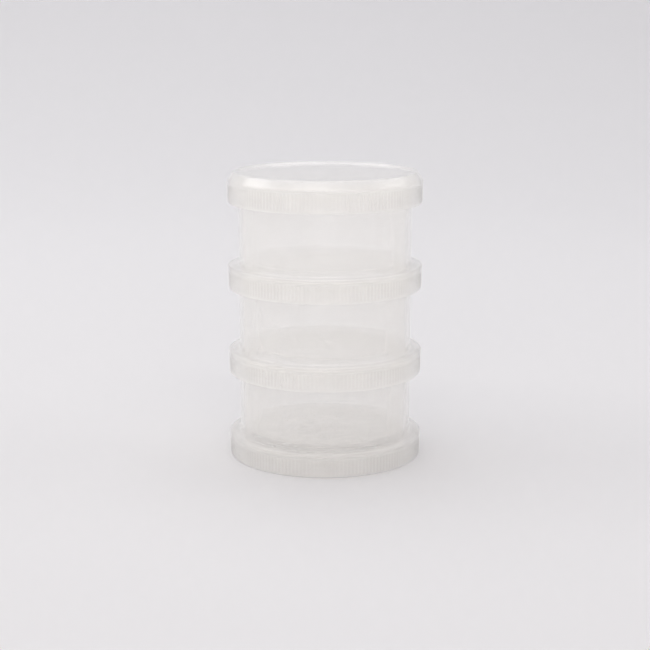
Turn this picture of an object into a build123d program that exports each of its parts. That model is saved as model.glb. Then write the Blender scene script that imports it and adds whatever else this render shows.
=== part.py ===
# A stack of three round cups and a lid. Each cup is at once a container and the cap of the cup
# below it: a short collar under its floor slips over the lower cup's neck, a plug ring seals the
# neck's bore, and lugs inside the collar catch under ridges on the neck when the cup is twisted.
# Millimetres, +Z up, origin at the middle of the ring that the stack stands on.
from build123d import *
from math import hypot, pi, sqrt
import os

os.makedirs("parts", exist_ok=True)

# Stack
tier_names = ["bottom_cup", "middle_cup", "top_cup"]
tier_pitch = 38.7  # from the lower edge of one collar to the lower edge of the next

# Cup wall and floor
wall_radius = 39.0
wall_thickness = 1.4
floor_thickness = 1.5
floor_lift = 2.0  # how far the floor's underside lies above the roof over the neck's rim
floor_bevel = 1.2  # in the corner between the floor and the wall
rim_bevel = 0.4  # both edges at the top of the neck
gate_radius = 1.5  # stub left in the middle of the floor's underside, where the mould was filled
gate_height = 0.4

# Collar
thread_room = 2.85  # between the neck and the collar's inside wall
collar_wall = 2.15
ledge_thickness = 1.6
ledge_bevel = 0.4
bead_height = 2.3  # the smooth band around the top of the collar
rib_step = 0.25  # how far the ribbed band stands back from the bead
edge_bevel = 0.3

# Grip ribs
groove_pitch = 1.72
groove_width = 0.8  # across the mouth of a square V
plain_lip = 1.2  # smooth strip below the grooves
plain_gap = 0.4  # smooth strip between the grooves and the bead

# Seal: the plug ring inside the neck
plug_clearance = 0.08  # radial, a sealing fit
plug_thickness = 1.3
plug_depth = 4.8  # from the roof over the neck's rim down to the ring's end
plug_lead_in = 0.5
rim_clearance = 0.3  # between the neck's rim and the roof above it

# Twist lock: lugs inside the collar, ridges outside the neck
starts = 4
lead = 6.0  # rise of a ridge in a whole turn
lug_arc = 36.0  # degrees
lug_foot = 2.7  # from the collar's lower edge up to the lugs
lug_height = 2.0
lug_root = 2.0
lug_crest = 0.9
ridge_arc = 42.0
ridge_height = 1.6
ridge_root = 1.8
ridge_crest = 0.9
catch_gap = 0.2  # between a lug and the ridge above it when twisted tight
rim_margin = 1.8  # from the ridges up to the neck's rim
thread_embed = 0.4  # how far ridges and lugs run into their walls

# Lid
lid_thickness = 1.6
lid_headroom = 2.4  # from the land over the neck's rim up to the panel's underside
lid_panel_drop = 0.9  # how far the flat panel lies below the rim
lid_rim_width = 1.6
lid_band = 1.15  # the upright smooth band below the sloping shoulder
shoulder_height = 3.8
shoulder_width = 2.5
seat_width = 0.5  # how far the land reaches past the neck's wall

# Radii, worked out from the above
wall_inner = wall_radius - wall_thickness
plug_outer = wall_inner - plug_clearance
plug_inner = plug_outer - plug_thickness
collar_inner = wall_radius + thread_room
collar_radius = collar_inner + collar_wall
ribbed_radius = collar_radius - rib_step
lid_top_radius = collar_radius - shoulder_width
groove_count = round(2 * pi * ribbed_radius / groove_pitch)
groove_side = groove_width * sqrt(2)  # of the square that cuts a V with one corner

# Heights above a collar's lower edge, worked out from the above
ridge_rise = lead * ridge_arc / 360
lug_middle = lug_foot + lug_root / 2
half_catch = (lug_root + lug_crest + ridge_root + ridge_crest) / 4
ridge_middle = lug_middle + half_catch + catch_gap + ridge_rise / 2
neck_rim = ridge_middle + (ridge_root + ridge_rise) / 2 + rim_margin
roof_underside = neck_rim + rim_clearance
collar_height = roof_underside + ledge_thickness
floor_underside = roof_underside + floor_lift
floor_top = floor_underside + floor_thickness
plug_end = roof_underside - plug_depth
lid_underside = roof_underside + lid_headroom
lid_panel_top = lid_underside + lid_thickness
lid_height = lid_panel_top + lid_panel_drop
lid_shoulder = lid_height - shoulder_height

# The lugs stand midway between the ridges below them, so a straight lift passes them freely
lug_start = 180 / starts - lug_arc / 2


def section_plane(base):
    """The upright half-plane that profiles are drawn on: x is the radius, y the height."""
    return Plane(origin=(0, 0, base), x_dir=(1, 0, 0), z_dir=(0, -1, 0))


def bevelled(corners):
    """The outline's points, with two in place of each corner that has a bevel."""
    points = []
    for number, (place, bevel) in enumerate(corners):
        corner = Vector(*place)
        if bevel == 0:
            points.append(corner)
            continue
        for neighbour in (number - 1, (number + 1) % len(corners)):
            along_edge = (Vector(*corners[neighbour][0]) - corner).normalized()
            points.append(corner + along_edge * bevel)
    return points


def draw_outline(base, corners):
    """The section bounded by corners, each a (radius, height) point and its bevel."""
    with BuildSketch(section_plane(base)) as outline:
        with BuildLine():
            Polyline(*bevelled(corners), close=True)
        make_face()
    return outline.sketch


def plug_corners():
    """The plug ring, from its inside edge round to the outside of its root."""
    return [
        ((plug_inner, plug_end), 0),
        ((plug_outer - plug_lead_in, plug_end), 0),
        ((plug_outer, plug_end + 2 * plug_lead_in), 0),
        ((plug_outer, roof_underside), 0),
    ]


def skirt_corners(roof, band_foot):
    """The collar's wall, from the roof inside it down and round to the foot of the smooth band."""
    return [
        ((collar_inner, roof), 0),
        ((collar_inner, 0), edge_bevel),
        ((ribbed_radius, 0), edge_bevel),
        ((ribbed_radius, band_foot), 0),
        ((collar_radius, band_foot), 0),
    ]


def draw_grooves(base):
    """The ends of the upright grip grooves that ring the ribbed band."""
    with BuildSketch(Plane.XY.offset(base + plain_lip)) as grooves:
        with PolarLocations(ribbed_radius + groove_width / 2, groove_count):
            Rectangle(groove_side, groove_side, rotation=45)
    return grooves.sketch


def draw_thread_section(root_radius, crest_radius, root_width, crest_width):
    """The tapered section of a ridge or a lug."""
    with BuildSketch(section_plane(0)) as section:
        with BuildLine():
            Polyline(
                (root_radius, -root_width / 2),
                (crest_radius, -crest_width / 2),
                (crest_radius, crest_width / 2),
                (root_radius, root_width / 2),
                close=True,
            )
        make_face()
    return section.sketch


def make_lug():
    """One short level lug of a collar's inside, from angle 0."""
    root_radius = collar_inner + thread_embed
    section = draw_thread_section(root_radius, collar_inner - lug_height, lug_root, lug_crest)
    with BuildPart() as lug:
        revolve(section, axis=Axis.Z, revolution_arc=lug_arc)
    return lug.part


def make_ridge():
    """One ridge of a neck's outside, a short length of right-hand helix from angle 0."""
    root_radius = wall_radius - thread_embed
    section = draw_thread_section(root_radius, wall_radius + ridge_height, ridge_root, ridge_crest)
    with BuildPart() as ridge:
        with BuildLine() as path:
            Helix(pitch=lead, height=ridge_rise, radius=wall_radius)
        sweep(section, path=path.line, is_frenet=True)
    return ridge.part


def make_cup(base):
    """One cup whose collar's lower edge is at height base."""
    bead_foot = collar_height - bead_height
    corners = [
        ((0, floor_underside - gate_height), 0),
        ((gate_radius, floor_underside - gate_height), 0),
        ((gate_radius, floor_underside), 0),
        ((plug_inner, floor_underside), edge_bevel),
        *plug_corners(),
        *skirt_corners(roof_underside, bead_foot),
        ((collar_radius, collar_height), ledge_bevel),
        ((wall_radius, collar_height), ledge_bevel),
        ((wall_radius, tier_pitch + neck_rim), rim_bevel),
        ((wall_inner, tier_pitch + neck_rim), rim_bevel),
        ((wall_inner, floor_top), floor_bevel),
        ((0, floor_top), 0),
    ]
    section = draw_outline(base, corners)
    grooves = draw_grooves(base)
    with BuildPart() as cup:
        revolve(section, axis=Axis.Z)
        extrude(grooves, amount=bead_foot - plain_gap - plain_lip, mode=Mode.SUBTRACT)
        with Locations((0, 0, base + lug_middle)):
            with PolarLocations(0, starts, start_angle=lug_start):
                add(lug)
        with Locations((0, 0, base + tier_pitch + ridge_middle - ridge_rise / 2)):
            with PolarLocations(0, starts, start_angle=-ridge_arc / 2):
                add(ridge)
    return cup


def make_lid(base):
    """The lid: the same collar, plug ring and lugs under a flat panel with a raised rim."""
    band_foot = lid_shoulder - lid_band
    seat_radius = wall_radius + seat_width
    rim_inner = lid_top_radius - lid_rim_width
    # the inside of the sloping shoulder keeps the lid's thickness below the outside
    slope_length = hypot(shoulder_width, shoulder_height)
    fall = collar_wall * shoulder_height - lid_thickness * slope_length
    inner_shoulder = lid_shoulder + fall / shoulder_width
    inner_run = (lid_underside - inner_shoulder) * shoulder_width / shoulder_height
    corners = [
        ((0, lid_underside), 0),
        ((plug_inner, lid_underside), edge_bevel),
        *plug_corners(),
        ((seat_radius, roof_underside), 0),
        ((seat_radius, lid_underside), 0),
        ((collar_inner - inner_run, lid_underside), 0),
        *skirt_corners(inner_shoulder, band_foot),
        ((collar_radius, lid_shoulder), ledge_bevel),
        ((lid_top_radius, lid_height), ledge_bevel),
        ((rim_inner, lid_height), edge_bevel),
        ((rim_inner - lid_panel_drop, lid_panel_top), edge_bevel),
        ((0, lid_panel_top), 0),
    ]
    section = draw_outline(base, corners)
    grooves = draw_grooves(base)
    with BuildPart() as lid:
        revolve(section, axis=Axis.Z)
        extrude(grooves, amount=band_foot - plain_gap - plain_lip, mode=Mode.SUBTRACT)
        with Locations((0, 0, base + lug_middle)):
            with PolarLocations(0, starts, start_angle=lug_start):
                add(lug)
    return lid


lug = make_lug()
ridge = make_ridge()

for tier, name in enumerate(tier_names):
    cup = make_cup(tier * tier_pitch)
    cup.part.label = name
    export_step(cup.part, f"parts/{name}.step")

lid = make_lid(len(tier_names) * tier_pitch)
lid.part.label = "lid"
export_step(lid.part, "parts/lid.step")
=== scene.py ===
import math
from math import radians

import bpy
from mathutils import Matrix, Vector


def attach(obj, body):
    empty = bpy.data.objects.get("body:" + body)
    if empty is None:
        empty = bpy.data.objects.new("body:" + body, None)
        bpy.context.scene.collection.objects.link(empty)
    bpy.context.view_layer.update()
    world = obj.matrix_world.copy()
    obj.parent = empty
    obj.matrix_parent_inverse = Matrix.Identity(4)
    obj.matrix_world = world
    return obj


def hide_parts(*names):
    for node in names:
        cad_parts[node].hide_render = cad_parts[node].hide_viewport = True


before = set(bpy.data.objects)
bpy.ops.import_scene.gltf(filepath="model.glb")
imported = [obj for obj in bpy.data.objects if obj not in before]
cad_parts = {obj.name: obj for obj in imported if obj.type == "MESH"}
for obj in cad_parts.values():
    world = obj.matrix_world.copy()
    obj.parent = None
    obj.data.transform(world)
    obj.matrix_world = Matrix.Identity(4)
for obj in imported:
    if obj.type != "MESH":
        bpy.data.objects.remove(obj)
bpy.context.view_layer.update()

# Three stacked cups and a lid, moulded in natural polypropylene. The stack stands
# on z = 0. Sizes in the dictionaries are in millimetres unless a note says otherwise.
scene = bpy.context.scene
mm = 0.001
print("frame loaded:", sorted(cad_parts))


def hexColour(text, alpha=1.0):
    # sRGB hex to the linear values that shaders use
    channels = [int(text[i:i + 2], 16) / 255 for i in (1, 3, 5)]
    linear = [c / 12.92 if c <= 0.04045 else ((c + 0.055) / 1.055) ** 2.4 for c in channels]
    return (*linear, alpha)


def addNode(tree, kind, settings=None, inputs=None):
    # settings are the node's own properties. inputs go by name, or in order when they are a list:
    # a socket is linked, a node is linked by its first output, and anything else is a plain value
    node = tree.nodes.new(kind)
    for key, value in (settings or {}).items():
        setattr(node, key, value)
    if isinstance(inputs, list):
        inputs = dict(enumerate(inputs))
    for key, value in (inputs or {}).items():
        if isinstance(value, bpy.types.Node):
            value = value.outputs[0]
        if isinstance(value, bpy.types.NodeSocket):
            tree.links.new(value, node.inputs[key])
        else:
            node.inputs[key].default_value = value
    return node


# What every piece of the stack shares
stack = {
    "pitch": 38.7,  # from one collar's lower edge to the next
    "segments": 640,  # round the axis, four to a grip rib
    "ribs": 160,
    "grooveDepth": 0.4,
    "starts": 4,  # lugs in a collar, and ridges on a neck
    "endTaper": 1.2,  # degrees over which a lug or ridge rises at its ends
}

# How the corners of a profile are drawn
edges = {
    "arcStep": 24.0,  # most degrees that one facet of a rounded corner turns
    "oneFacet": 0.2,  # a corner rounded less than this is a single facet
    "holdEdge": 0.25,  # points this far from a corner keep the flats flat under smooth shading
    "longFlat": 3.0,  # the shortest flat that has such points
    "sameSpot": 0.01,  # points closer together than this become one
}


def corner(r, z, rounding=0.0, skin=1.4, **marks):
    # a profile's corner. skin is how thick the plastic is there, and marks say what rides on it
    return {"at": Vector((r, z)), "rounding": rounding, "skin": skin, "marks": marks}


# The ribbed collar and the plug ring inside it, the same under every floor and under the lid
collar = {
    "inside": 41.85,
    "ribbed": 43.75,
    "outside": 44.0,
    "roof": 9.0,
    "beadFoot": 8.3,
    "top": 10.6,
    "skin": 2.15,
    "groovesFrom": 1.2,
    "groovesTo": 7.9,
    "grooveRunOut": 0.3,  # over which a groove reaches its depth at either end
    "plugInside": 36.22,
    "plugOutside": 37.52,
    "plugEnd": 4.2,
    "plugLeadIn": 0.5,
    "plugSkin": 1.3,
    "lugMiddle": 3.7,
    "lugRoot": 2.0,
    "lugCrest": 0.9,
    "lugHeight": 2.0,
    "lugArc": 36.0,  # degrees
    "lugSkin": 2.6,
}


def plugCorners():
    # from the plug ring's inside edge round to its full width
    c = collar
    inside, outside, end = c["plugInside"], c["plugOutside"], c["plugEnd"]
    return [
        corner(inside, end, rounding=0.3, skin=c["plugSkin"]),
        corner(outside - c["plugLeadIn"], end, rounding=0.3, skin=c["plugSkin"]),
        corner(outside, end + 2 * c["plugLeadIn"], rounding=0.5, skin=c["plugSkin"]),
    ]


def skirtCorners(grooveTop):
    # down the inside of the collar, past its lugs, round the lower edge and up the ribs
    c = collar
    root, crest, skin = c["lugRoot"] / 2, c["lugCrest"] / 2, c["skin"]
    return [
        corner(c["inside"], c["lugMiddle"] + root, skin=skin),
        corner(c["inside"], c["lugMiddle"] + crest, skin=c["lugSkin"], lug=1),
        corner(c["inside"], c["lugMiddle"] - crest, skin=c["lugSkin"], lug=1),
        corner(c["inside"], c["lugMiddle"] - root, skin=skin),
        corner(c["inside"], 0.0, rounding=0.4, skin=skin),
        corner(c["ribbed"], 0.0, rounding=0.4, skin=skin),
        corner(c["ribbed"], c["groovesFrom"], skin=skin),
        corner(c["ribbed"], c["groovesFrom"] + c["grooveRunOut"], skin=skin, rib=1),
        corner(c["ribbed"], grooveTop - c["grooveRunOut"], skin=skin, rib=1),
        corner(c["ribbed"], grooveTop, skin=skin),
    ]


# The cup's wall, its floor, and the neck that the next collar slips over
neck = {
    "wall": 39.0,
    "bore": 37.6,
    "rim": 47.4,
    "floorTop": 12.5,
    "floorUnder": 11.0,
    "gate": 0.4,  # stub in the middle of the floor's underside
    "gateRadius": 1.5,
    "ridgeMiddle": 44.35,
    "ridgeRoot": 1.8,
    "ridgeCrest": 0.9,
    "ridgeHeight": 1.6,
    "ridgeArc": 42.0,  # degrees
    "ridgeRise": 0.7,
    "ridgeSkin": 2.2,
}


def cupCorners():
    # from the middle of the floor's underside, round by the collar and the neck, to its top
    c, n = collar, neck
    root, crest, skin = n["ridgeRoot"] / 2, n["ridgeCrest"] / 2, n["ridgeSkin"]
    return [
        corner(0, n["floorUnder"] - n["gate"], skin=1.9),
        corner(n["gateRadius"], n["floorUnder"] - n["gate"], rounding=0.2, skin=1.9),
        corner(n["gateRadius"], n["floorUnder"], rounding=0.15, skin=1.5),
        corner(c["plugInside"], n["floorUnder"], rounding=0.5, skin=1.5),
        *plugCorners(),
        corner(c["plugOutside"], c["roof"], rounding=0.15, skin=1.6),
        corner(c["inside"], c["roof"], rounding=0.5, skin=1.6),
        *skirtCorners(c["groovesTo"]),
        corner(c["ribbed"], c["beadFoot"], rounding=0.1, skin=2.4),
        corner(c["outside"], c["beadFoot"], rounding=0.12, skin=2.4),
        corner(c["outside"], c["top"], rounding=0.6, skin=1.8),
        corner(n["wall"], c["top"], rounding=0.5),
        corner(n["wall"], n["ridgeMiddle"] - root, climb=1),
        corner(n["wall"], n["ridgeMiddle"] - crest, skin=skin, climb=1, ridge=1),
        corner(n["wall"], n["ridgeMiddle"] + crest, skin=skin, climb=1, ridge=1),
        corner(n["wall"], n["ridgeMiddle"] + root, climb=1),
        corner(n["wall"], n["rim"], rounding=0.5),
        corner(n["bore"], n["rim"], rounding=0.5),
        corner(n["bore"], n["floorTop"], rounding=2.0),
        corner(0, n["floorTop"], skin=1.5),
    ]


# The lid above its collar
lidTop = {
    "under": 11.4,
    "panel": 13.0,
    "rim": 13.9,
    "rimOutside": 41.5,
    "rimInside": 39.9,
    "rimFoot": 39.0,
    "seat": 39.5,
    "shoulder": 10.1,
    "insideShoulder": 10.457,
    "insideCorner": 41.23,
    "bandFoot": 8.95,
    "groovesTo": 8.55,
}


def lidCorners():
    # from the middle of the panel's underside, round by the collar, to the middle of its top
    c, t = collar, lidTop
    return [
        corner(0, t["under"], skin=1.6),
        corner(c["plugInside"], t["under"], rounding=0.5, skin=1.6),
        *plugCorners(),
        corner(c["plugOutside"], c["roof"], rounding=0.15, skin=1.9),
        corner(t["seat"], c["roof"], rounding=0.2, skin=1.9),
        corner(t["seat"], t["under"], rounding=0.4, skin=1.6),
        corner(t["insideCorner"], t["under"], rounding=0.3, skin=1.6),
        corner(c["inside"], t["insideShoulder"], rounding=0.4, skin=1.7),
        *skirtCorners(t["groovesTo"]),
        corner(c["ribbed"], t["bandFoot"], rounding=0.1, skin=2.3),
        corner(c["outside"], t["bandFoot"], rounding=0.12, skin=2.3),
        corner(c["outside"], t["shoulder"], rounding=0.5, skin=1.8),
        corner(t["rimOutside"], t["rim"], rounding=0.5, skin=1.8),
        corner(t["rimInside"], t["rim"], rounding=0.3, skin=1.8),
        corner(t["rimFoot"], t["panel"], rounding=0.4, skin=1.6),
        corner(0, t["panel"], skin=1.6),
    ]


def roundedCorner(at, before, after, radius):
    # points along the arc, and how far from the corner it starts
    turn = math.pi - before.angle(after)
    reach = radius * math.tan(turn / 2)
    first = at + before.normalized() * reach
    last = at + after.normalized() * reach
    steps = max(1, math.ceil(math.degrees(turn) / edges["arcStep"]))
    if radius < edges["oneFacet"]:
        steps = 1
    inward = (before.normalized() + after.normalized()).normalized()
    middle = at + inward * radius / math.cos(turn / 2)
    arc = []
    for i in range(steps + 1):
        fromFirst = math.sin(turn * (1 - i / steps)) / math.sin(turn)
        fromLast = math.sin(turn * i / steps) / math.sin(turn)
        arc.append(middle + (first - middle) * fromFirst + (last - middle) * fromLast)
    return arc, reach


def profilePoints(corners):
    # the corners rounded, with holding points beside them on the long flats
    points = []
    for number, here in enumerate(corners):
        at, reach, places = here["at"], 0.0, [here["at"]]
        if at.x > 0:  # the two ends lie on the axis and stay as they are
            before = corners[number - 1]["at"] - at
            after = corners[number + 1]["at"] - at
            if here["rounding"]:
                places, reach = roundedCorner(at, before, after, here["rounding"])
            if before.length > edges["longFlat"] + reach:
                places = [at + before.normalized() * (reach + edges["holdEdge"]), *places]
            if after.length > edges["longFlat"] + reach:
                places = [*places, at + after.normalized() * (reach + edges["holdEdge"])]
        for place in places:
            if not points or (points[-1][0] - place).length > edges["sameSpot"]:
                points.append((place, here["skin"], here["marks"]))
    return points


markNames = ["rib", "lug", "ridge", "climb"]


def profileObject(name, corners, base):
    # the profile's points as loose vertices: radius along x, height along z
    points = profilePoints(corners)
    mesh = bpy.data.meshes.new(name)
    mesh.from_pydata([(at.x * mm, 0, (at.y + base) * mm) for at, _, _ in points], [], [])
    for mark in markNames:
        values = [float(marks.get(mark, 0)) for _, _, marks in points]
        mesh.attributes.new(mark, "FLOAT", "POINT").data.foreach_set("value", values)
    skins = [skin for _, skin, _ in points]
    mesh.attributes.new("skin", "FLOAT", "POINT").data.foreach_set("value", skins)
    piece = bpy.data.objects.new(name, mesh)
    scene.collection.objects.link(piece)
    return piece


def turnedTree():
    # a profile turned round the axis, with grip grooves, lugs and climbing ridges where marked
    tree = bpy.data.node_groups.new("turnedMoulding", "GeometryNodeTree")
    face = tree.interface
    face.new_socket("Geometry", in_out="INPUT", socket_type="NodeSocketGeometry")
    for name, kind in [
        ("Segments", "Int"), ("Ribs", "Int"), ("Starts", "Int"), ("Groove Depth", "Float"),
        ("Lug Height", "Float"), ("Lug Arc", "Float"), ("Ridge Height", "Float"),
        ("Ridge Arc", "Float"), ("Ridge Rise", "Float"), ("End Taper", "Float"),
        ("Material", "Material"),
    ]:
        face.new_socket(name, in_out="INPUT", socket_type="NodeSocket" + kind)
    face.new_socket("Geometry", in_out="OUTPUT", socket_type="NodeSocketGeometry")
    given = addNode(tree, "NodeGroupInput").outputs
    profile, segments, starts = given["Geometry"], given["Segments"], given["Starts"]
    calc = "ShaderNodeMath"
    add, subtract, multiply = [{"operation": o} for o in ("ADD", "SUBTRACT", "MULTIPLY")]
    divide, absolute, floor = [{"operation": o} for o in ("DIVIDE", "ABSOLUTE", "FLOOR")]
    least, most, sign = [{"operation": o} for o in ("MINIMUM", "MAXIMUM", "SIGN")]

    # a grid with a row for each point of the profile and a column for each segment
    rows = addNode(tree, "GeometryNodeAttributeDomainSize", None, {"Geometry": profile})
    across = addNode(tree, calc, add, [segments, 1])
    grid = addNode(tree, "GeometryNodeMeshGrid", None, {
        "Size X": 1.0, "Size Y": 1.0,
        "Vertices X": rows.outputs["Point Count"], "Vertices Y": across,
    })
    index = addNode(tree, "GeometryNodeInputIndex")
    centred = addNode(tree, calc, add, [index, 0.5])  # so that no whole row is rounded down
    row = addNode(tree, calc, floor, [addNode(tree, calc, divide, [centred, across])])
    passed = addNode(tree, calc, multiply, [row, across])
    column = addNode(tree, calc, subtract, [index, passed])
    share = addNode(tree, calc, divide, [column, segments])  # 0 to 1 round the axis

    # what the profile says at this row
    marks = {}
    for name in [*markNames, "skin"]:
        named = addNode(tree, "GeometryNodeInputNamedAttribute",
                        {"data_type": "FLOAT"}, {"Name": name})
        marks[name] = addNode(tree, "GeometryNodeSampleIndex", {"data_type": "FLOAT"}, {
            "Geometry": profile, "Index": row, "Value": named.outputs["Attribute"],
        })
    place = addNode(tree, "GeometryNodeSampleIndex", {"data_type": "FLOAT_VECTOR"}, {
        "Geometry": profile, "Index": row, "Value": addNode(tree, "GeometryNodeInputPosition"),
    })
    spot = addNode(tree, "ShaderNodeSeparateXYZ", None, [place]).outputs

    # a groove's bottom is on every fourth column, and its mouth on the columns either side
    ribsPassed = addNode(tree, calc, multiply, [share, given["Ribs"]])
    ribPhase = addNode(tree, calc, {"operation": "PINGPONG"}, [ribsPassed, 0.5])
    offBottom = addNode(tree, calc, multiply, [ribPhase, 4])
    groove = addNode(tree, calc, most, [addNode(tree, calc, subtract, [1, offBottom]), 0])

    # degrees from the middle of the nearest lug or ridge, and how far each stands out there
    startsPassed = addNode(tree, calc, multiply, [share, starts])
    startArc = addNode(tree, calc, divide, [360, starts])
    angles, standing = {}, {}
    for name, shift, arc in (("lug", 0.0, given["Lug Arc"]), ("ridge", 0.5, given["Ridge Arc"])):
        shifted = addNode(tree, calc, add, [startsPassed, shift])
        phase = addNode(tree, calc, {"operation": "FRACT"}, [shifted])
        fromMiddle = addNode(tree, calc, subtract, [phase, 0.5])
        angles[name] = addNode(tree, calc, multiply, [fromMiddle, startArc])
        halfWide = addNode(tree, calc, multiply, [arc, 0.5])
        away = addNode(tree, calc, absolute, [angles[name]])
        left = addNode(tree, calc, subtract, [halfWide, away])
        rise = addNode(tree, "ShaderNodeMapRange", {"interpolation_type": "SMOOTHSTEP"},
                       {"Value": left, "From Max": given["End Taper"]})
        standing[name] = addNode(tree, calc, multiply, [marks[name], rise])

    # rows climb with a ridge and come down again between two ridges
    halfArc = addNode(tree, calc, multiply, [given["Ridge Arc"], 0.5])
    halfStart = addNode(tree, calc, divide, [180, starts])
    halfGap = addNode(tree, calc, subtract, [halfStart, halfArc])
    away = addNode(tree, calc, absolute, [angles["ridge"]])
    up = addNode(tree, calc, divide, [away, halfArc])
    beyond = addNode(tree, calc, subtract, [away, halfArc])
    fallen = addNode(tree, calc, divide, [beyond, halfGap])
    down = addNode(tree, calc, subtract, [1, fallen])
    nearest = addNode(tree, calc, least, [up, down])
    side = addNode(tree, calc, sign, [angles["ridge"]])
    climb = addNode(tree, calc, multiply, [nearest, side])
    halfRise = addNode(tree, calc, multiply, [given["Ridge Rise"], 0.5])
    climb = addNode(tree, calc, multiply, [climb, halfRise])

    ribbed = addNode(tree, calc, multiply, [marks["rib"], groove])
    cut = addNode(tree, calc, multiply, [ribbed, given["Groove Depth"]])
    radius = addNode(tree, calc, subtract, [spot["X"], cut])
    lugs = addNode(tree, calc, multiply, [standing["lug"], given["Lug Height"]])
    radius = addNode(tree, calc, subtract, [radius, lugs])
    ridges = addNode(tree, calc, multiply, [standing["ridge"], given["Ridge Height"]])
    radius = addNode(tree, calc, add, [radius, ridges])
    climbed = addNode(tree, calc, multiply, [marks["climb"], climb])
    height = addNode(tree, calc, add, [spot["Z"], climbed])
    angle = addNode(tree, calc, multiply, [share, 2 * math.pi])
    cosine = addNode(tree, calc, {"operation": "COSINE"}, [angle])
    sine = addNode(tree, calc, {"operation": "SINE"}, [angle])
    turned = addNode(tree, "ShaderNodeCombineXYZ", None, {
        "X": addNode(tree, calc, multiply, [radius, cosine]),
        "Y": addNode(tree, calc, multiply, [radius, sine]),
        "Z": height,
    })

    stored = addNode(tree, "GeometryNodeStoreNamedAttribute",
                     {"data_type": "FLOAT", "domain": "POINT"},
                     {"Geometry": grid.outputs["Mesh"], "Name": "skin", "Value": marks["skin"]})
    moved = addNode(tree, "GeometryNodeSetPosition", None,
                    {"Geometry": stored, "Position": turned})
    merged = addNode(tree, "GeometryNodeMergeByDistance", None,
                     {"Geometry": moved, "Distance": 0.001 * mm})  # closes the seam and the poles
    real = addNode(tree, "GeometryNodeRealizeInstances", None, {"Geometry": merged})
    dressed = addNode(tree, "GeometryNodeSetMaterial", None,
                      {"Geometry": real, "Material": given["Material"]})
    addNode(tree, "NodeGroupOutput", None, {"Geometry": dressed})
    return tree


def turnPiece(piece, tree, material):
    # runs the tree on a profile and keeps the result as a plain closed mesh
    inputs = {
        item.name: item.identifier for item in tree.interface.items_tree if item.in_out == "INPUT"
    }
    modifier = piece.modifiers.new("turned", "NODES")
    modifier.node_group = tree
    for name, value in {
        "Segments": stack["segments"], "Ribs": stack["ribs"], "Starts": stack["starts"],
        "Groove Depth": stack["grooveDepth"] * mm, "End Taper": stack["endTaper"],
        "Lug Height": collar["lugHeight"] * mm, "Lug Arc": collar["lugArc"],
        "Ridge Height": neck["ridgeHeight"] * mm, "Ridge Arc": neck["ridgeArc"],
        "Ridge Rise": neck["ridgeRise"] * mm, "Material": material,
    }.items():
        modifier[inputs[name]] = value
    evaluated = piece.evaluated_get(bpy.context.evaluated_depsgraph_get())
    mesh = bpy.data.meshes.new_from_object(evaluated)
    piece.modifiers.remove(modifier)
    piece.data = mesh
    mesh.calc_loop_triangles()
    spots = [v.co for v in mesh.vertices]
    triangles = [triangle.vertices for triangle in mesh.loop_triangles]
    volume = sum(spots[a].dot(spots[b].cross(spots[c])) for a, b, c in triangles) / 6
    if volume < 0:  # the faces point inwards
        mesh.flip_normals()
    mesh.shade_smooth()
    print(f"{piece.name}: {len(triangles)} triangles, {abs(volume) / mm ** 3:.0f} mm3")


# Injection-moulded natural polypropylene: no pigment, so it is a milky clear plastic.
# The eye sees pale walls that let shapes through, whiter where the plastic is thick or
# seen edge-on, with a soft gloss off a lightly textured mould.
naturalPp = {
    "body": "#FEFDFA",  # of the light that comes back
    "through": "#FEFDFA",  # of the light that is scattered on through
    "haze": 0.15,  # share of light that a millimetre of the plastic scatters
    "slantHaze": 1.9,  # times as much where a wall is seen edge-on
    "backward": 0.55,  # share of the scattered light that comes back
    "ior": 1.49,
    "roughness": 0.19,
    "smoother": 0.04,  # how far the roughness falls and rises over the surface
    "rougher": 0.05,
    "flowWidth": 9.0,  # cloudiness frozen in as the melt flowed
    "flowDrawn": 0.35,  # squeezes the clouds' scale along z, so they are drawn out up the walls
    "clearest": 0.94,  # times the haze between clouds, and in them
    "cloudiest": 1.07,
    "gateRadius": 1.5,  # where the melt came in, in the middle of each floor
    "blush": 1.2,  # times the haze there
    "blushReach": 5.0,
    "grain": 0.8,  # spark-eroded mould texture; the real 0.05 mm is drawn this coarse to show
    "grainDepth": 0.03,
    "grainStrength": 0.05,
    "waviness": 14.0,  # slow unevenness from shrinkage
    "waveDepth": 0.12,
    "waveStrength": 0.12,
    "noiseLow": 0.3,  # nearly all of a noise's values lie between these
    "noiseHigh": 0.7,
}


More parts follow.
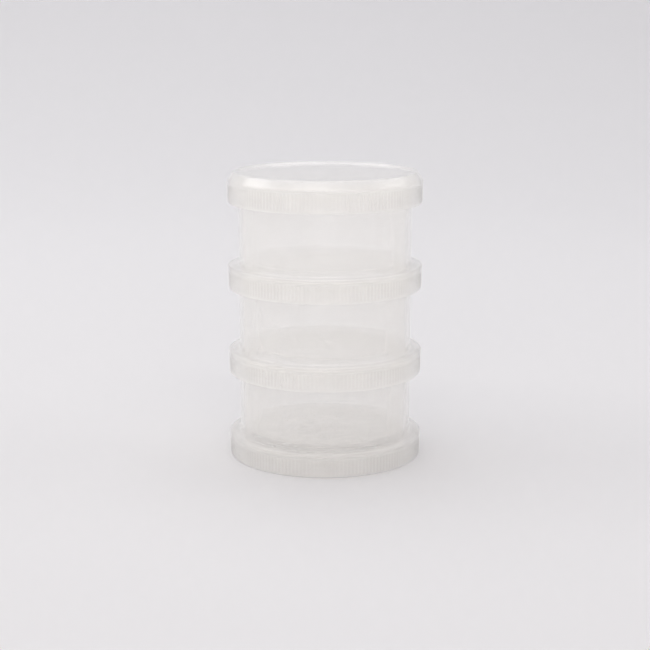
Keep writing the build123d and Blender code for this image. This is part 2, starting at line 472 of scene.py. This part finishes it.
def makeNaturalPp():
    p = naturalPp
    material = bpy.data.materials.new("mouldedNaturalPolypropylene")
    material.use_nodes = True
    tree = material.node_tree
    tree.nodes.clear()
    calc = "ShaderNodeMath"
    multiply, power = {"operation": "MULTIPLY"}, {"operation": "POWER"}
    where = addNode(tree, "ShaderNodeTexCoord").outputs["Object"]
    drawn = addNode(tree, "ShaderNodeMapping", None,
                    {"Vector": where, "Scale": (1.0, 1.0, p["flowDrawn"])})
    flow = addNode(tree, "ShaderNodeTexNoise", None, {
        "Vector": drawn, "Scale": 1 / (p["flowWidth"] * mm),
        "Detail": 3.0, "Roughness": 0.55, "Distortion": 0.6,
    })
    grain = addNode(tree, "ShaderNodeTexNoise", None,
                    {"Vector": where, "Scale": 1 / (p["grain"] * mm), "Detail": 2.0})
    waves = addNode(tree, "ShaderNodeTexNoise", None,
                    {"Vector": where, "Scale": 1 / (p["waviness"] * mm), "Detail": 1.0})

    # haze through half a wall, more through thick plastic and at a slant inside it
    skin = addNode(tree, "ShaderNodeAttribute", {"attribute_name": "skin"}).outputs["Fac"]
    facing = addNode(tree, "ShaderNodeLayerWeight", None, {"Blend": 0.5}).outputs["Facing"]
    slant = addNode(tree, "ShaderNodeMapRange", None, {
        "Value": facing, "From Min": 0.0, "From Max": 1.0, "To Min": 1.0, "To Max": p["slantHaze"],
    })
    cloud = addNode(tree, "ShaderNodeMapRange", None, {
        "Value": flow, "From Min": p["noiseLow"], "From Max": p["noiseHigh"],
        "To Min": p["clearest"], "To Max": p["cloudiest"],
    })
    level = addNode(tree, "ShaderNodeVectorMath", multiply, [where, (1.0, 1.0, 0.0)])
    fromAxis = addNode(tree, "ShaderNodeVectorMath", {"operation": "LENGTH"}, [level])
    blush = addNode(tree, "ShaderNodeMapRange", None, {
        "Value": fromAxis.outputs["Value"],
        "From Min": p["gateRadius"] * mm, "From Max": p["blushReach"] * mm,
        "To Min": p["blush"], "To Max": 1.0,
    })
    path = addNode(tree, calc, multiply, [skin, slant])
    for factor in (cloud, blush):
        path = addNode(tree, calc, multiply, [path, factor])
    kept = addNode(tree, calc, power, [1 - p["haze"], path])
    haze = addNode(tree, calc, {"operation": "SUBTRACT", "use_clamp": True}, [1.0, kept])

    rough = addNode(tree, "ShaderNodeMapRange", None, {
        "Value": waves, "From Min": p["noiseLow"], "From Max": p["noiseHigh"],
        "To Min": p["roughness"] - p["smoother"], "To Max": p["roughness"] + p["rougher"],
    })
    broad = addNode(tree, "ShaderNodeBump", None, {
        "Height": waves, "Strength": p["waveStrength"], "Distance": p["waveDepth"] * mm,
    })
    fine = addNode(tree, "ShaderNodeBump", None, {
        "Height": grain, "Normal": broad,
        "Strength": p["grainStrength"], "Distance": p["grainDepth"] * mm,
    })

    milk = addNode(tree, "ShaderNodeBsdfPrincipled", None, {
        "Base Color": hexColour(p["body"]), "IOR": p["ior"], "Specular IOR Level": 0.0,
        "Roughness": rough, "Normal": fine,
    })
    glow = addNode(tree, "ShaderNodeBsdfTranslucent", None,
                   {"Color": hexColour(p["through"]), "Normal": broad})
    scattered = addNode(tree, "ShaderNodeMixShader", None, [1 - p["backward"], milk, glow])
    clear = addNode(tree, "ShaderNodeBsdfTransparent", None, {"Color": hexColour("#FFFFFF")})
    inside = addNode(tree, "ShaderNodeMixShader", None, [haze, clear, scattered])
    gloss = addNode(tree, "ShaderNodeBsdfAnisotropic", None,
                    {"Color": hexColour("#FFFFFF"), "Roughness": rough, "Normal": fine})

    # mirror-like share by Schlick's rule, from the index of refraction
    headOn = ((p["ior"] - 1) / (p["ior"] + 1)) ** 2
    rise = addNode(tree, calc, power, [facing, 5.0])
    mirror = addNode(tree, calc, {"operation": "MULTIPLY_ADD"}, [rise, 1 - headOn, headOn])
    whole = addNode(tree, "ShaderNodeMixShader", None, [mirror, inside, gloss])
    addNode(tree, "ShaderNodeOutputMaterial", None, {"Surface": whole})
    return material


polypropylene = makeNaturalPp()
moulding = turnedTree()
for tier, name in enumerate(["bottom_cup", "middle_cup", "top_cup", "lid"]):
    corners = lidCorners() if name == "lid" else cupCorners()
    piece = profileObject(name + "_moulding", corners, tier * stack["pitch"])
    turnPiece(piece, moulding, polypropylene)
    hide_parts(name)
    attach(piece, name)
bpy.data.node_groups.remove(moulding)
print("four mouldings made")

# The studio, in metres: a matt paper floor that sweeps up into a round backdrop
studio = {
    "paper": "#D9D8D8",
    "rings": [0.0, 0.3, 0.8, 0.9],  # radii of the level floor's rings of faces
    "sweep": 1.9,  # radius of the curve from the floor up to the wall
    "sweepSteps": 16,
    "wall": 2.6,  # height
    "turns": 96,
    "fibresPerMetre": 900.0,
    "fibreDepth": 0.0002,
    "world": "#DDDDE4",
    "worldStrength": 0.85,
}


def makeStudio():
    s = studio
    flat, sweep, turns = s["rings"][-1], s["sweep"], s["turns"]
    outline = [(r, 0.0) for r in s["rings"]]
    for i in range(1, s["sweepSteps"] + 1):
        a = radians(90 * i / s["sweepSteps"])
        outline.append((flat + sweep * math.sin(a), sweep * (1 - math.cos(a))))
    outline.append((flat + sweep, s["wall"]))
    places = [(0.0, 0.0, 0.0)]
    for r, z in outline[1:]:
        for j in range(turns):
            a = radians(360 * j / turns)
            places.append((r * math.cos(a), r * math.sin(a), z))
    faces = [(0, 1 + j, 1 + (j + 1) % turns) for j in range(turns)]
    for i in range(len(outline) - 2):
        for j in range(turns):
            a, b = 1 + i * turns + j, 1 + i * turns + (j + 1) % turns
            faces.append((a, a + turns, b + turns, b))
    mesh = bpy.data.meshes.new("paperSweep")
    mesh.from_pydata(places, [], faces)
    mesh.shade_smooth()
    material = bpy.data.materials.new("mattBackdropPaper")
    material.use_nodes = True
    tree = material.node_tree
    tree.nodes.clear()
    where = addNode(tree, "ShaderNodeTexCoord").outputs["Object"]
    fibre = addNode(tree, "ShaderNodeTexNoise", None,
                    {"Vector": where, "Scale": s["fibresPerMetre"], "Detail": 3.0})
    bump = addNode(tree, "ShaderNodeBump", None,
                   {"Height": fibre, "Strength": 0.05, "Distance": s["fibreDepth"]})
    paper = addNode(tree, "ShaderNodeBsdfPrincipled", None, {
        "Base Color": hexColour(s["paper"]), "Roughness": 0.85, "Specular IOR Level": 0.2,
        "Normal": bump,
    })
    addNode(tree, "ShaderNodeOutputMaterial", None, {"Surface": paper})
    mesh.materials.append(material)
    backdrop = bpy.data.objects.new("paperSweep", mesh)
    scene.collection.objects.link(backdrop)
    world = bpy.data.worlds.new("softRoom")
    world.use_nodes = True
    ambient = world.node_tree.nodes["Background"]
    ambient.inputs["Color"].default_value = hexColour(s["world"])
    ambient.inputs["Strength"].default_value = s["worldStrength"]
    scene.world = world


def hang(name, data, at, aim):
    # a lamp or the camera, at one place and pointed at another
    holder = bpy.data.objects.new(name, data)
    holder.location = at
    holder.rotation_mode = "QUATERNION"
    holder.rotation_quaternion = (Vector(aim) - Vector(at)).to_track_quat("-Z", "Y")
    scene.collection.objects.link(holder)
    return holder


# Softboxes: where each hangs and what it points at, its size in metres and its power in watts
softboxes = {
    "frontSoftbox": {
        "at": (-0.15, -0.85, 1.30), "aim": (0, 0, 0.10),
        "size": (2.2, 0.25), "watts": 6.0, "colour": "#FFFBF5",
    },
    "leftSoftbox": {
        "at": (-1.20, 0.10, 1.00), "aim": (0, 0, 0.10),
        "size": (1.2, 0.4), "watts": 4.8, "colour": "#FFFFFF",
    },
    "rightSoftbox": {
        "at": (1.20, 0.10, 1.00), "aim": (0, 0, 0.10),
        "size": (1.2, 0.4), "watts": 2.4, "colour": "#FFFFFF",
    },
    "overheadSoftbox": {
        "at": (-0.15, 0.85, 1.50), "aim": (0, 1.20, 0),
        "size": (1.8, 1.2), "watts": 10.8, "colour": "#FFFFFF",
    },
    "fillSoftbox": {
        "at": (0, -1.50, 0.55), "aim": (0, 0, 0.05),
        "size": (1.2, 0.8), "watts": 4.6, "colour": "#FFFBF5",
    },
}


def makeLights():
    for name, box in softboxes.items():
        lamp = bpy.data.lights.new(name, "AREA")
        lamp.shape = "RECTANGLE"
        lamp.size, lamp.size_y = box["size"]
        lamp.energy = box["watts"]
        lamp.color = hexColour(box["colour"])[:3]
        hang(name, lamp, box["at"], box["aim"])


# The camera looks slightly down at the stack; lengths in metres, the lens in millimetres
view = {
    "at": (0, -0.6596, 0.2019),
    "aim": (0, 0, 0.05924),
    "lens": 81.6,
    "sensor": 36.0,
    "clip": 0.01,
}


def makeCamera():
    camera = bpy.data.cameras.new("camera")
    camera.lens, camera.sensor_width = view["lens"], view["sensor"]
    camera.clip_start = view["clip"]
    scene.camera = hang("camera", camera, view["at"], view["aim"])


makeStudio()
makeLights()
makeCamera()
scene.view_settings.view_transform = "Standard"
scene.cycles.transparent_max_bounces = 40  # a line of sight can cross a dozen walls
scene.cycles.max_bounces = 24
scene.cycles.diffuse_bounces = 16
scene.cycles.denoising_input_passes = "RGB_ALBEDO"
print("studio, lights and camera set")
